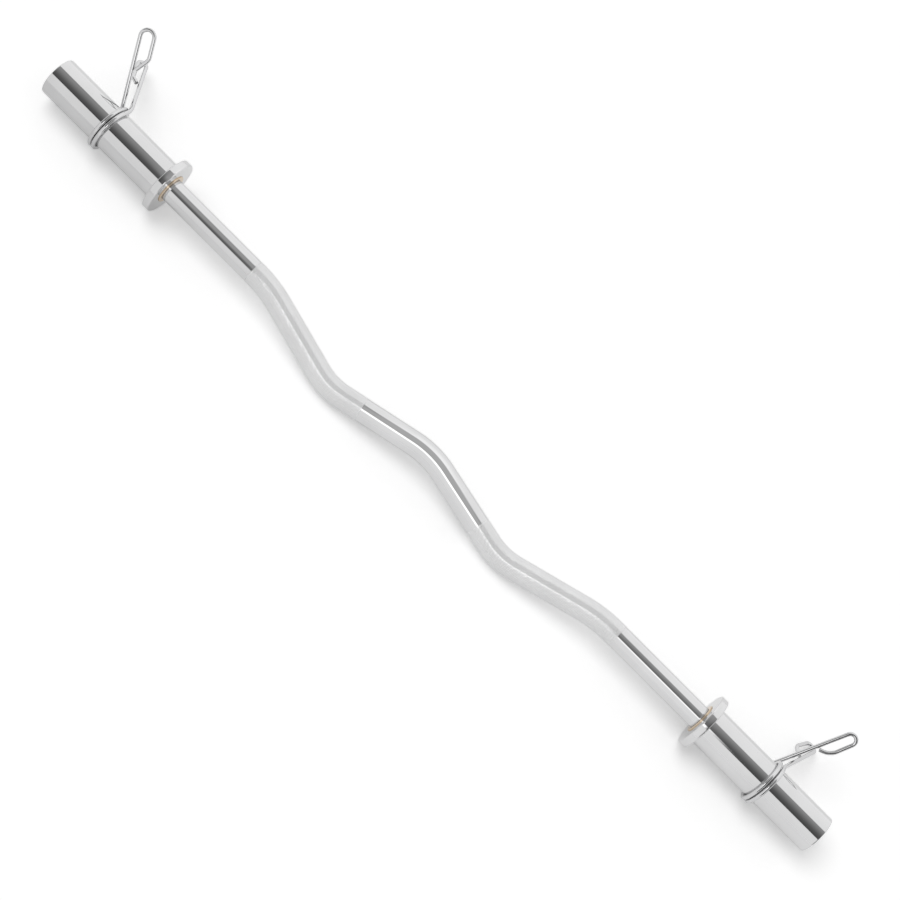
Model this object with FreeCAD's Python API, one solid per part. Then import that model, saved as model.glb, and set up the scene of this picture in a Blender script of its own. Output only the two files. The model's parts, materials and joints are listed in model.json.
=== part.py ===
# EZ curl bar: a bent steel shaft with knurled grips, two rotating sleeves and two wire spring collars.
# All sizes are in millimetres. X runs along the bar, +Y points to the collar handles and +Z is up.
# The bar lies on its two flanges and on the two dips of its shaft, with the floor at z = 0, and the
# origin is at the middle of the base. Every piece is first made with the sleeve axis on the X axis.
import FreeCAD, Part
import math
import os
from FreeCAD import Vector

# Whole bar
bar_length = 1200.0  # over the ends of the sleeves
axial_play = 0.25  # between a sleeve and each of its two stops on the shaft

# Shaft, whose zigzag centreline is given at its corners, before they are rounded
shaft_diameter = 29.0
grip_diameter = 29.3  # over the crests of the knurl
outer_bend_x = 261.0  # where the shaft leaves the sleeve axis
outer_bend_radius = 165.0
dip_x = 136.0
dip_depth = 33.4
dip_bend_radius = 86.0
hump_depth = 4.0  # at the middle of the bar
hump_bend_radius = 110.0
knurl_inner_x = 92.0
knurl_outer_x = 289.0
spindle_diameter = 25.0
spindle_tail = 4.5  # past the groove of the retaining ring
spindle_chamfer = 1.0

# Sleeve tube and its flange
sleeve_diameter = 49.0
sleeve_bore = 38.0
sleeve_load_length = 171.5  # from the flange to the end of the sleeve
sleeve_chamfer = 1.5
flange_diameter = 71.0
flange_thickness = 10.0
flange_chamfer = 1.0
spigot_diameter = 45.0  # the end of the tube that sits in the flange
spigot_length = 5.0

# Bronze bushings, thrust washer and retaining ring
bushing_length = 30.0
bushing_clearance = 0.05  # running clearance on the spindle, on the radius
bushing_proud = 1.2  # how far the inner bushing stands out of the flange
bushing_chamfer = 0.6
outer_bushing_inset = 40.0  # from the end of the sleeve
washer_diameter = 36.0
washer_thickness = 2.0
washer_clearance = 0.1  # on the spindle, on the radius
ring_thickness = 1.2
ring_width = 3.2
ring_groove_depth = 0.55
ring_groove_slack = 0.1
ring_lug_radius = 2.3
ring_lug_hole_radius = 1.0
ring_lug_angle = 16.0  # of each lug from the middle of the ring's gap, in degrees

# End cap, a cup pressed into the end of the sleeve
cap_length = 9.0
cap_wall = 2.5
cap_inset = 1.0
cap_chamfer = 0.8

# Spring collar, one wire wound into a coil with two crossed legs
wire_diameter = 5.0
collar_clearance = 0.85  # between the coil and the sleeve
coil_gap = 0.6  # between neighbouring turns
collar_inset = 83.6  # from the end of the sleeve to the middle of the coil
leg_spread = 70.3  # angle between the two legs, in degrees
left_collar_turn = 10.8  # how far the middle of the two legs points up from level, in degrees
right_collar_turn = 3.4  # the same on the right, in degrees
left_upper_lean = 27.4  # of a leg away from the plates, in degrees
left_lower_lean = 26.5  # in degrees
right_upper_lean = 22.9  # in degrees
right_lower_lean = 18.5  # in degrees
handle_reach = 108.6  # from where a leg leaves the coil to the tip of its loop
lean_bend_radius = 25.0
loop_radius = 8.0
loop_return_length = 25.0
loop_close_angle = 42.0  # in degrees
loop_close_radius = 7.0
loop_end_gap = 0.6  # between the end of the wire and its own leg

# Sizes and places that follow from the driving dimensions
shaft_radius = shaft_diameter / 2
grip_radius = grip_diameter / 2
spindle_radius = spindle_diameter / 2
sleeve_radius = sleeve_diameter / 2
bore_radius = sleeve_bore / 2
flange_radius = flange_diameter / 2
wire_radius = wire_diameter / 2
sleeve_end_x = bar_length / 2
flange_outer_x = sleeve_end_x - sleeve_load_length
flange_inner_x = flange_outer_x - flange_thickness
spigot_x = flange_outer_x - spigot_length
bushing_face_x = flange_inner_x - bushing_proud
shoulder_x = bushing_face_x - axial_play
outer_bushing_x = sleeve_end_x - outer_bushing_inset
washer_x = outer_bushing_x + axial_play
groove_x = washer_x + washer_thickness
groove_end_x = groove_x + ring_thickness + ring_groove_slack
groove_radius = spindle_radius - ring_groove_depth
spindle_end_x = groove_end_x + spindle_tail
cap_outer_x = sleeve_end_x - cap_inset
coil_radius = sleeve_radius + collar_clearance + wire_radius
coil_pitch = wire_diameter + coil_gap
collar_x = sleeve_end_x - collar_inset
coil_turn = 540.0 + leg_spread  # the legs leave on opposite sides of the coil and cross

os.makedirs("parts", exist_ok=True)
X_AXIS = Vector(1, 0, 0)
Z_AXIS = Vector(0, 0, 1)
CENTRE = Vector(0, 0, 0)


def turned(outline):
    """Solid turned about the X axis from the (x, radius) corners of its section."""
    corners = [Vector(x, 0, radius) for x, radius in outline]
    section = Part.Face(Part.makePolygon(corners + corners[:1]))
    return section.revolve(CENTRE, X_AXIS, 360)


def tube_along(edges, radius):
    """Round bar or wire of one radius along joined edges."""
    spine = Part.Wire(edges)
    start = spine.Edges[0].valueAt(spine.Edges[0].FirstParameter)
    heading = spine.Edges[0].tangentAt(spine.Edges[0].FirstParameter)
    section = Part.Wire(Part.makeCircle(radius, start, heading))
    shell = Part.BRepOffsetAPI.MakePipeShell(spine)
    shell.add(section)
    shell.build()
    shell.makeSolid()
    return shell.shape()


def arc_from(start, heading, end):
    """Arc that leaves start along heading and ends at end, or a line where these are in line."""
    chord = end - start
    across = chord - heading * chord.dot(heading)
    if across.Length < 1e-9:
        return Part.LineSegment(start, end).toShape()
    radius = chord.Length ** 2 / (2 * across.Length)
    across.normalize()
    centre = start + across * radius
    middle = (start + end) * 0.5 - centre
    middle.normalize()
    return Part.Arc(start, centre + middle * radius, end).toShape()


def biarc(start, heading, end, end_heading):
    """Two arcs that join smoothly, from start along heading to end along end_heading."""
    chord = end - start
    both = heading + end_heading
    square = 2 * (1 - heading.dot(end_heading))
    linear = 2 * chord.dot(both)
    reach = (math.sqrt(linear ** 2 + 4 * square * chord.dot(chord)) - linear) / (2 * square)
    joint = (start + heading * reach + end - end_heading * reach) * 0.5
    second = arc_from(end, end_heading * -1, joint)
    return [arc_from(start, heading, joint), Part.Arc(joint, second.valueAt(middle_of(second)), end).toShape()]


def middle_of(edge):
    """Parameter halfway along an edge."""
    return (edge.FirstParameter + edge.LastParameter) / 2


def rounded_path(corners, radii):
    """Straight runs through corners, joined by tangent arcs of the given radii, as edges."""
    edges = []
    here = corners[0]
    for before, corner, after, radius in zip(corners, corners[1:], corners[2:], radii):
        back = (before - corner).normalize()
        ahead = (after - corner).normalize()
        half_angle = back.getAngle(ahead) / 2
        tangent_length = radius / math.tan(half_angle)
        inward = (back + ahead).normalize()
        top = corner + inward * (radius / math.sin(half_angle) - radius)
        arc_start = corner + back * tangent_length
        arc_end = corner + ahead * tangent_length
        edges.append(Part.LineSegment(here, arc_start).toShape())
        edges.append(Part.Arc(arc_start, top, arc_end).toShape())
        here = arc_end
    edges.append(Part.LineSegment(here, corners[-1]).toShape())
    return edges


def shaft_edges(tilt):
    """Centreline of the bent shaft between its shoulders, its dips tilted down and forward by tilt."""
    plan = [(shoulder_x, 0), (outer_bend_x, 0), (dip_x, dip_depth), (0, hump_depth)]
    plan += [(-x, depth) for x, depth in reversed(plan[:-1])]
    forward = Vector(0, -math.cos(tilt), -math.sin(tilt))
    corners = [X_AXIS * x + forward * depth for x, depth in plan]
    half = [outer_bend_radius, dip_bend_radius]
    return rounded_path(corners, half + [hump_bend_radius] + half[::-1])


def resting_tilt():
    """Angle at which the dips touch the floor when the flanges stand on it."""
    deepest = max(edge.BoundBox.ZMax for edge in shaft_edges(-math.pi / 2))
    return math.asin(min(1.0, (flange_radius - grip_radius) / deepest))


def shaft():
    """Bent bar with its two knurled bands and a turned spindle at each end."""
    edges = shaft_edges(resting_tilt())
    bar = tube_along(edges, shaft_radius)
    grips = tube_along(edges, grip_radius)
    reach = flange_diameter + dip_depth
    band = Part.makeBox(knurl_outer_x - knurl_inner_x, 2 * reach, 2 * reach)
    pieces = []
    for start in (knurl_inner_x, -knurl_outer_x):
        zone = band.copy()
        zone.translate(Vector(start, -reach, -reach))
        pieces.append(grips.common(zone))
    spindle = turned([
        (shoulder_x, 0),
        (shoulder_x, spindle_radius),
        (groove_x, spindle_radius),
        (groove_x, groove_radius),
        (groove_end_x, groove_radius),
        (groove_end_x, spindle_radius),
        (spindle_end_x - spindle_chamfer, spindle_radius),
        (spindle_end_x, spindle_radius - spindle_chamfer),
        (spindle_end_x, 0),
    ])
    pieces += [spindle, turned_round(spindle)]
    return bar.fuse(pieces).removeSplitter()


def sleeve_tube():
    """Tube that carries the plates, with a spigot that sits in the flange."""
    return turned([
        (spigot_x, bore_radius),
        (spigot_x, spigot_diameter / 2),
        (flange_outer_x, spigot_diameter / 2),
        (flange_outer_x, sleeve_radius),
        (sleeve_end_x - sleeve_chamfer, sleeve_radius),
        (sleeve_end_x, sleeve_radius - sleeve_chamfer),
        (sleeve_end_x, bore_radius),
    ])


def flange():
    """Round plate stop, counterbored for the spigot of the tube."""
    return turned([
        (flange_inner_x, bore_radius),
        (flange_inner_x, flange_radius - flange_chamfer),
        (flange_inner_x + flange_chamfer, flange_radius),
        (flange_outer_x - flange_chamfer, flange_radius),
        (flange_outer_x, flange_radius - flange_chamfer),
        (flange_outer_x, spigot_diameter / 2),
        (spigot_x, spigot_diameter / 2),
        (spigot_x, bore_radius),
    ])


def bushing(start):
    """Plain bronze bearing, pressed into the sleeve and running on the spindle."""
    inside = spindle_radius + bushing_clearance
    end = start + bushing_length
    return turned([
        (start, inside),
        (start, bore_radius - bushing_chamfer),
        (start + bushing_chamfer, bore_radius),
        (end - bushing_chamfer, bore_radius),
        (end, bore_radius - bushing_chamfer),
        (end, inside),
    ])


def thrust_washer():
    """Flat washer between the outer bushing and the retaining ring."""
    return turned([
        (washer_x, spindle_radius + washer_clearance),
        (washer_x, washer_diameter / 2),
        (groove_x, washer_diameter / 2),
        (groove_x, spindle_radius + washer_clearance),
    ])


def retaining_ring():
    """Open ring in the groove of the spindle, with two lugs for pliers, its gap facing up."""
    end = groove_x + ring_thickness
    ring = turned([
        (groove_x, groove_radius),
        (groove_x, groove_radius + ring_width),
        (end, groove_radius + ring_width),
        (end, groove_radius),
    ])
    lug_ring_radius = groove_radius + ring_lug_radius
    lugs = []
    holes = []
    for side in (-1, 1):
        angle = math.radians(90 + side * ring_lug_angle)
        foot = Vector(groove_x, lug_ring_radius * math.cos(angle), lug_ring_radius * math.sin(angle))
        lugs.append(Part.makeCylinder(ring_lug_radius, ring_thickness, foot, X_AXIS))
        holes.append(Part.makeCylinder(ring_lug_hole_radius, ring_thickness, foot, X_AXIS))
    half_gap = groove_radius * math.sin(math.radians(ring_lug_angle))
    gap_corner = Vector(groove_x, -half_gap, 0)
    gap = Part.makeBox(ring_thickness, 2 * half_gap, 2 * spindle_diameter, gap_corner)
    core = Part.makeCylinder(groove_radius, ring_thickness, Vector(groove_x, 0, 0), X_AXIS)
    return ring.cut(gap).fuse(lugs).cut(holes + [core]).removeSplitter()


def end_cap():
    """Cup pressed into the end of the sleeve, its flat bottom facing out."""
    skirt_x = cap_outer_x - cap_length
    return turned([
        (skirt_x, bore_radius - cap_wall),
        (skirt_x, bore_radius),
        (cap_outer_x - cap_chamfer, bore_radius),
        (cap_outer_x, bore_radius - cap_chamfer),
        (cap_outer_x, 0),
        (cap_outer_x - cap_wall, 0),
        (cap_outer_x - cap_wall, bore_radius - cap_wall),
    ])


def around(degrees):
    """Direction in the YZ plane, counted from +Y towards +Z."""
    angle = math.radians(degrees)
    return Vector(0, math.cos(angle), math.sin(angle))


def coil_point(turned_by, collar_turn, middle_x):
    """Point and heading on the coil, turned_by degrees from its middle, which faces the handles."""
    angle = collar_turn + turned_by
    place = around(angle) * coil_radius + X_AXIS * (middle_x - coil_pitch * turned_by / 360)
    slope = math.atan2(coil_pitch, 2 * math.pi * coil_radius)
    heading = around(angle + 90) * math.cos(slope) - X_AXIS * math.sin(slope)
    return place, heading


def coil_ends(collar_turn, middle_x):
    """Place and outward heading of both ends of the coil: where the lower and the upper leg begin."""
    lower, lower_heading = coil_point(-coil_turn / 2, collar_turn, middle_x)
    upper, upper_heading = coil_point(coil_turn / 2, collar_turn, middle_x)
    lower_end = lower - lower_heading * wire_diameter
    upper_end = upper + upper_heading * wire_diameter
    return (lower_end, lower_heading * -1), (upper_end, upper_heading)


def coil_edges(collar_turn, middle_x):
    """Line of the coil's wire in quarter turns, straight for one wire diameter at both ends."""
    (lower_end, _), (upper_end, _) = coil_ends(collar_turn, middle_x)
    quarters = round(coil_turn / 90)
    stops = []
    for step in range(quarters + 1):
        stops.append(coil_point((step / quarters - 0.5) * coil_turn, collar_turn, middle_x))
    edges = [Part.LineSegment(lower_end, stops[0][0]).toShape()]
    for (start, heading), (end, end_heading) in zip(stops, stops[1:]):
        edges += biarc(start, heading, end, end_heading)
    edges.append(Part.LineSegment(stops[-1][0], upper_end).toShape())
    return edges


class WireBender:
    """Bends a wire in one plane, piece by piece, from a start point along a heading."""

    def __init__(self, start, along, sideways, angle):
        self.place = start
        self.along = along
        self.sideways = sideways
        self.angle = angle
        self.edges = []

    def direction(self, degrees):
        """Unit direction in the wire's plane, from along towards sideways."""
        angle = math.radians(degrees)
        return self.along * math.cos(angle) + self.sideways * math.sin(angle)

    def straight(self, length):
        """Run on in a straight line."""
        end = self.place + self.direction(self.angle) * length
        self.edges.append(Part.LineSegment(self.place, end).toShape())
        self.place = end

    def bend(self, radius, degrees):
        """Turn by an angle, towards sideways if it is positive."""
        side = math.copysign(90, degrees)
        centre = self.place + self.direction(self.angle + side) * radius
        middle = centre - self.direction(self.angle + side + degrees / 2) * radius
        end = centre - self.direction(self.angle + side + degrees) * radius
        self.edges.append(Part.Arc(self.place, middle, end).toShape())
        self.place = end
        self.angle += degrees


def handle_edges(end_of_coil, lean, loop_side):
    """Leg and teardrop loop of one handle, from the end of the coil.

    lean is the leg's slope towards +X in degrees, and loop_side the X sign that its loop opens to."""
    start, heading = end_of_coil
    along = Vector(0, heading.y, heading.z).normalize()
    slope = math.degrees(math.asin(heading.x))
    wire = WireBender(start, along, X_AXIS, slope)
    wire.bend(lean_bend_radius, lean - slope)
    gone = (wire.place - start).dot(along) + wire_diameter
    loop_shift = loop_side * loop_radius * math.sin(math.radians(lean))
    straight_reach = handle_reach - gone - loop_radius - wire_radius + loop_shift
    wire.straight(straight_reach / math.cos(math.radians(lean)))
    wire.bend(loop_radius, loop_side * 180)
    wire.straight(loop_return_length)
    wire.bend(loop_close_radius, loop_side * loop_close_angle)
    close = math.radians(loop_close_angle)
    nearest = wire_radius * (1 + math.cos(close)) + loop_end_gap
    gap_left = 2 * loop_radius - loop_close_radius * (1 - math.cos(close)) - nearest
    wire.straight(gap_left / math.sin(close))
    return wire.edges


def points_along(edges, spacing):
    """Points along edges, each with its distance from the start."""
    points = []
    travelled = 0.0
    for edge in edges:
        count = max(2, math.ceil(edge.Length / spacing))
        for point in edge.discretize(count)[:-1]:
            points.append((travelled, point))
            travelled += edge.Length / (count - 1)
    return points


def least_gap(edges):
    """Smallest space between stretches of one wire that are at least half a turn of the coil apart."""
    points = points_along(edges, wire_radius / 2)
    apart = math.pi * coil_radius
    gaps = []
    for index, (travelled, point) in enumerate(points):
        later = [other for distance, other in points[index:] if distance - travelled > apart]
        gaps += [point.distanceToPoint(other) for other in later]
    return min(gaps) - wire_diameter


def turned_round(shape):
    """Copy of a right-hand piece for the left end, turned half round about the middle of the bar."""
    copy = shape.copy()
    copy.rotate(CENTRE, Z_AXIS, 180)
    return copy


def collar(side, collar_turn, upper_lean, lower_lean):
    """Coil and both handles of one spring collar, by name. side is the X sign of the bar's end."""
    middle_x = side * collar_x
    lower_end, upper_end = coil_ends(collar_turn, middle_x)
    wires = {
        "collar_spring": coil_edges(collar_turn, middle_x),
        "collar_lower_handle": handle_edges(lower_end, side * lower_lean, -1),
        "collar_upper_handle": handle_edges(upper_end, side * upper_lean, 1),
    }
    print("least gap between the coil's turns:", round(least_gap(wires["collar_spring"]), 3))
    solids = {}
    for name, edges in wires.items():
        solids[name] = tube_along(edges, wire_radius)
        length = sum(edge.Length for edge in edges)
        straight_volume = math.pi * wire_radius ** 2 * length
        share = solids[name].Volume / straight_volume
        print(name, "wire length", round(length, 1), "volume over section times length", round(share, 4))
    return solids


def sleeve_pieces():
    """Pieces at the right-hand end of the bar, by name, apart from the spring collar."""
    return {
        "sleeve_tube": sleeve_tube(),
        "flange": flange(),
        "inner_bushing": bushing(bushing_face_x),
        "outer_bushing": bushing(outer_bushing_x - bushing_length),
        "thrust_washer": thrust_washer(),
        "retaining_ring": retaining_ring(),
        "end_cap": end_cap(),
    }


def all_pieces():
    """Every piece of the bar by node name, with the sleeve axis on the X axis."""
    pieces = {"shaft": shaft()}
    for name, shape in sleeve_pieces().items():
        pieces["right_" + name] = shape
        pieces["left_" + name] = turned_round(shape)
    for name, shape in collar(-1, left_collar_turn, left_upper_lean, left_lower_lean).items():
        pieces["left_" + name] = shape
    for name, shape in collar(1, right_collar_turn, right_upper_lean, right_lower_lean).items():
        pieces["right_" + name] = shape
    return pieces


def main():
    """Make every piece, stand the bar on the floor about the origin and write one file for each piece."""
    pieces = all_pieces()
    boxes = [shape.optimalBoundingBox(False, False) for shape in pieces.values()]
    middle_y = (min(box.YMin for box in boxes) + max(box.YMax for box in boxes)) / 2
    lowest_z = min(box.ZMin for box in boxes)
    stand = Vector(0, -middle_y, -lowest_z)
    for name, shape in pieces.items():
        shape.translate(stand)
        shape.exportStep("parts/" + name + ".step")
        print(name, "valid", shape.isValid(), "solids", len(shape.Solids), "volume", round(shape.Volume, 1))
    print("sleeve axis at y", round(stand.y, 4), "z", round(stand.z, 4))
    print("shaft tilt in degrees", round(math.degrees(resting_tilt()), 3))
    print("collar middle x", collar_x, "flange faces x", flange_inner_x, flange_outer_x)


main()
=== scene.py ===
import json
import math

import bmesh
import bpy
from bpy.props import FloatProperty, FloatVectorProperty, IntProperty, PointerProperty
from mathutils import Matrix, Vector


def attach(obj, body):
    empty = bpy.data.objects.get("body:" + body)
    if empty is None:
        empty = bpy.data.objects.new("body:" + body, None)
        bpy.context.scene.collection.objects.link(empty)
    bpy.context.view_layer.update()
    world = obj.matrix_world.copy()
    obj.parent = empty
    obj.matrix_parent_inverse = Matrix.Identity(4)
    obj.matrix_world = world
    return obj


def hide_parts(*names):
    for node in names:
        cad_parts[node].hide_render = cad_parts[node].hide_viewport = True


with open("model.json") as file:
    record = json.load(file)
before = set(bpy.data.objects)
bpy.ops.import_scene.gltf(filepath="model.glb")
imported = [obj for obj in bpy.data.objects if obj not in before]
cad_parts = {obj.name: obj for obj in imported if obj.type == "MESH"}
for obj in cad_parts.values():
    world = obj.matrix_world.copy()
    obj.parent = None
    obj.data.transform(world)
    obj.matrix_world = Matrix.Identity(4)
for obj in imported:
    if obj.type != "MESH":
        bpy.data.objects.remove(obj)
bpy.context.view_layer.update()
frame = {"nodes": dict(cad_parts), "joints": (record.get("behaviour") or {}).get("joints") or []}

bl_info = {
    "name": "EZ Curl Bar",
    "version": (1, 0, 0),
    "blender": (4, 5, 0),
    "location": "View3D > Sidebar > Curl Bar",
    "description": "Chromed curl bar with knurled grips, rotating sleeves and wire spring collars",
    "category": "Object",
}

SIDES = {"left": -1, "right": 1}
X_AXIS = Vector((1, 0, 0))
SPIN_JOINT = next(joint for joint in frame["joints"] if joint["name"] == "left_sleeve_spin")
SLEEVE_AXIS = Vector((0, SPIN_JOINT["pos_m"][1], SPIN_JOINT["pos_m"][2]))
FULL_TURN = 2 * math.pi

# Faces that meet at a larger angle than this keep a sharp edge
SHARP = math.radians(35)
# Points closer than this are merged, and an edge closer than this to a rim's place belongs to the rim
MERGE_DISTANCE = 1e-7
RIM_DISTANCE = 1e-4

# Number of faces round each turned piece
SPINDLE_STEPS = 96
SLEEVE_STEPS = 160
FLANGE_STEPS = 192
CAP_STEPS = 128
BUSHING_STEPS = 128
# Number of faces along the coil, along each bend of a handle and along the arc of mirrored panels
COIL_STEPS = 150
LEAN_STEPS = 12
TIP_STEPS = 36
CLOSE_STEPS = 14
TENT_STEPS = 120
# Number of faces across a rounded edge
RIM_SEGMENTS = 4
WIRE_END_SEGMENTS = 2


# Settings that a user would change


def length(name, description, default):
    """Length property in metres."""
    return FloatProperty(name=name, description=description, default=default, min=0,
                         precision=5, unit="LENGTH")


def angle(name, description, degrees):
    """Angle property, given in degrees."""
    return FloatProperty(name=name, description=description, default=math.radians(degrees),
                         subtype="ANGLE")


def share(name, description, default):
    """Number from 0 to 1."""
    return FloatProperty(name=name, description=description, default=default, min=0, max=1,
                         subtype="FACTOR")


def strength(name, description, default):
    """Number from 0 upwards, for the strength of a light."""
    return FloatProperty(name=name, description=description, default=default, min=0)


def colour(name, description, default):
    """Colour property."""
    return FloatVectorProperty(name=name, description=description, default=default, min=0, max=1,
                               subtype="COLOR")


def count(name, description, default):
    """Whole number property."""
    return IntProperty(name=name, description=description, default=default, min=3)


HANDLES = ("left_upper", "left_lower", "right_upper", "right_lower")
HANDLE_ORDER = ", in the order left upper, left lower, right upper, right lower"


def four_lengths(name, description, default):
    """Length in metres of each of the four handles."""
    return FloatVectorProperty(name=name, description=description + HANDLE_ORDER, default=default,
                               size=len(HANDLES), min=0, precision=5, unit="LENGTH")


def four_angles(name, description, degrees):
    """Angle of each of the four handles, given in degrees."""
    return FloatVectorProperty(name=name, description=description + HANDLE_ORDER, size=len(HANDLES),
                               unit="ROTATION", default=[math.radians(value) for value in degrees])


class ShaftSizes(bpy.types.PropertyGroup):
    """Sizes of the bent shaft and its knurl."""

    radius: length("Radius", "Radius of the plain bar", 0.0145)
    plain_sides: count("Plain sides", "Number of faces round the plain bar", 128)
    plain_step: length("Plain step", "Length of a face along the plain bar's bend", 0.00435)
    shoulder_x: length("Shoulder", "Where the bar steps down to its spindle, from the middle", 0.41705)
    outer_bend_x: length("Outer bend", "Corner where the bar leaves the sleeve axis", 0.261)
    outer_bend_radius: length("Outer bend radius", "Centreline radius of the outer bends", 0.165)
    dip_x: length("Dip", "Corner of each dip, from the middle", 0.136)
    dip_depth: length("Dip depth", "How far a dip's corner lies from the sleeve axis", 0.0334)
    dip_bend_radius: length("Dip bend radius", "Centreline radius of the dips", 0.086)
    hump_depth: length("Hump depth", "How far the middle corner lies from the sleeve axis", 0.004)
    hump_bend_radius: length("Hump bend radius", "Centreline radius of the middle bend", 0.11)
    tilt: angle("Tilt", "How far the dips hang down from level", 42.346)
    knurl_inner_x: length("Knurl start", "Inner end of each knurled grip, from the middle", 0.092)
    knurl_outer_x: length("Knurl end", "Outer end of each knurled grip, from the middle", 0.289)
    left_knurl_shift: length("Left knurl shift", "Shift of the left knurl towards the middle", 0.0024)
    knurl_valley_radius: length("Knurl valley radius", "Radius at the bottom of the grooves", 0.01447)
    knurl_depth: length("Knurl depth", "Height of the knurl's points over its grooves", 0.00018)
    knurl_land: share("Knurl land", "Flat top of a point, as a share of the way to its grooves", 0.55)
    knurl_lap: length("Knurl lap", "How far the plain bar laps over the ends of the knurl", 0.0009)
    knurl_row: length("Knurl row", "Length of a knurl diamond along the bar", 0.0029)
    knurl_around: count("Knurl diamonds around", "Number of knurl diamonds round the bar", 52)
    spindle_radius: length("Spindle radius", "Radius of the spindle inside a sleeve", 0.0125)
    spindle_end_x: length("Spindle end", "End of the spindle, from the middle", 0.56805)
    spindle_round: length("Spindle rounding", "Rounding of the spindle's end", 0.0008)
    groove_x: length("Ring groove", "Start of the retaining ring's groove, from the middle", 0.56225)
    groove_width: length("Ring groove width", "Width of the retaining ring's groove", 0.0013)
    groove_depth: length("Ring groove depth", "Depth of the retaining ring's groove", 0.00055)


class SleeveSizes(bpy.types.PropertyGroup):
    """Sizes of the two rotating sleeves."""

    radius: length("Radius", "Outside radius of a sleeve", 0.0245)
    bore_radius: length("Bore radius", "Inside radius of a sleeve", 0.019)
    spigot_radius: length("Spigot radius", "Radius of the tube's end inside the flange", 0.0225)
    spigot_x: length("Spigot", "Inner end of the tube, from the middle", 0.4235)
    end_x: length("End", "Outer end of a sleeve, from the middle", 0.6)
    end_round: length("End rounding", "Rounding of the outer edge of a sleeve", 0.0015)
    flange_radius: length("Flange radius", "Radius of the plate stop", 0.0355)
    flange_inner_x: length("Flange inner face", "Face towards the grips, from the middle", 0.4185)
    flange_outer_x: length("Flange outer face", "Face towards the plates, from the middle", 0.4285)
    flange_round: length("Flange rounding", "Rounding of the flange's edges", 0.0018)
    edge_round: length("Small rounding", "Rounding of the small turned edges", 0.0003)
    cap_outer_x: length("Cap face", "Outer face of an end cap, from the middle", 0.599)
    cap_length: length("Cap length", "Length of an end cap", 0.009)
    cap_wall: length("Cap wall", "Wall thickness of an end cap", 0.0025)
    cap_round: length("Cap rounding", "Rounding of an end cap's outer edge", 0.0006)
    bushing_face_x: length("Bushing face", "Inner face of the bronze bushing, from the middle", 0.4173)
    bushing_length: length("Bushing length", "Length of the bronze bushing", 0.03)
    bushing_bore: length("Bushing bore", "Inside radius of the bronze bushing", 0.01255)
    bushing_round: length("Bushing rounding", "Rounding of the bronze bushing's outer edges", 0.0006)


class CollarSizes(bpy.types.PropertyGroup):
    """Sizes of the two wire spring collars."""

    wire_radius: length("Wire radius", "Radius of the spring wire", 0.0025)
    wire_sides: count("Wire sides", "Number of faces round the wire", 28)
    wire_end_round: length("Wire end rounding", "Rounding of the wire's cut ends", 0.0003)
    coil_radius: length("Coil radius", "Radius of the coil at the middle of its wire", 0.02785)
    coil_pitch: length("Coil pitch", "Distance between neighbouring turns", 0.0056)
    coil_x: length("Coil place", "Middle of the coil, from the middle of the bar", 0.5164)
    coil_turn: angle("Coil turn", "Winding of the wire, without the leg spread", 540.0)
    leg_spread: angle("Leg spread", "Angle between the two legs", 70.3)
    stub: length("Stub", "Straight wire at each end of the coil, up to where a handle begins", 0.005)
    left_turn: angle("Left turn", "How far the left collar's legs point up from level", 10.8)
    right_turn: angle("Right turn", "How far the right collar's legs point up from level", 3.4)
    handle_reach: four_lengths("Handle reach", "From where each leg leaves the coil to its tip",
                               (0.1096, 0.1086, 0.1086, 0.1021))
    lean_bend_radius: four_lengths("Lean bend radius", "Radius of the bend at the foot of each leg",
                                   (0.010, 0.030, 0.028, 0.026))
    lean: four_angles("Lean", "Lean of each leg towards the end of the bar", (27.9, 25.9, 22.9, 17.3))
    tip_radius: four_lengths("Tip radius", "Radius of the bend at each tip",
                             (0.0084, 0.0052, 0.0066, 0.0064))
    flare: four_angles("Flare", "How far each loop widens from its tip", (0.0, 1.0, 2.0, 5.0))
    loop_return: four_lengths("Return", "Straight run back from each tip",
                              (0.0215, 0.032, 0.018, 0.0215))
    loop_close: four_angles("Close", "Turn of the end of each loop towards its leg",
                            (40.0, 40.0, 46.0, 52.0))
    close_radius: four_lengths("Close radius", "Radius of the bend that closes each loop",
                               (0.007, 0.006, 0.020, 0.014))
    loop_end_gap: length("Loop end gap", "Space between the end of the wire and its own leg", 0.0003)


class Finishes(bpy.types.PropertyGroup):
    """Colours and polish of the materials."""

    chrome: colour("Chrome", "Colour of the plated shaft, sleeves and flanges", (0.63, 0.63, 0.633))
    chrome_roughness: share("Chrome roughness", "Roughness of the polished plating", 0.035)
    knurl: colour("Knurl", "Colour of the plated knurl", (0.82, 0.82, 0.823))
    knurl_roughness: share("Knurl roughness", "Roughness of the knurl's facets", 0.42)
    wire: colour("Spring wire", "Colour of the collars' wire", (0.6, 0.6, 0.605))
    wire_roughness: share("Wire roughness", "Roughness of the collars' wire", 0.06)
    cut_wire: colour("Cut wire", "Colour of the wire's cut ends", (0.34, 0.34, 0.34))
    cut_wire_roughness: share("Cut wire roughness", "Roughness of the wire's cut ends", 0.4)
    bronze: colour("Bronze", "Colour of the bushings", (0.62, 0.5, 0.37))
    bronze_roughness: share("Bronze roughness", "Roughness of the bushings", 0.08)
    steel: colour("Plain steel", "Colour of the washers and retaining rings", (0.42, 0.42, 0.43))
    steel_roughness: share("Plain steel roughness", "Roughness of the washers and rings", 0.3)


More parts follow.
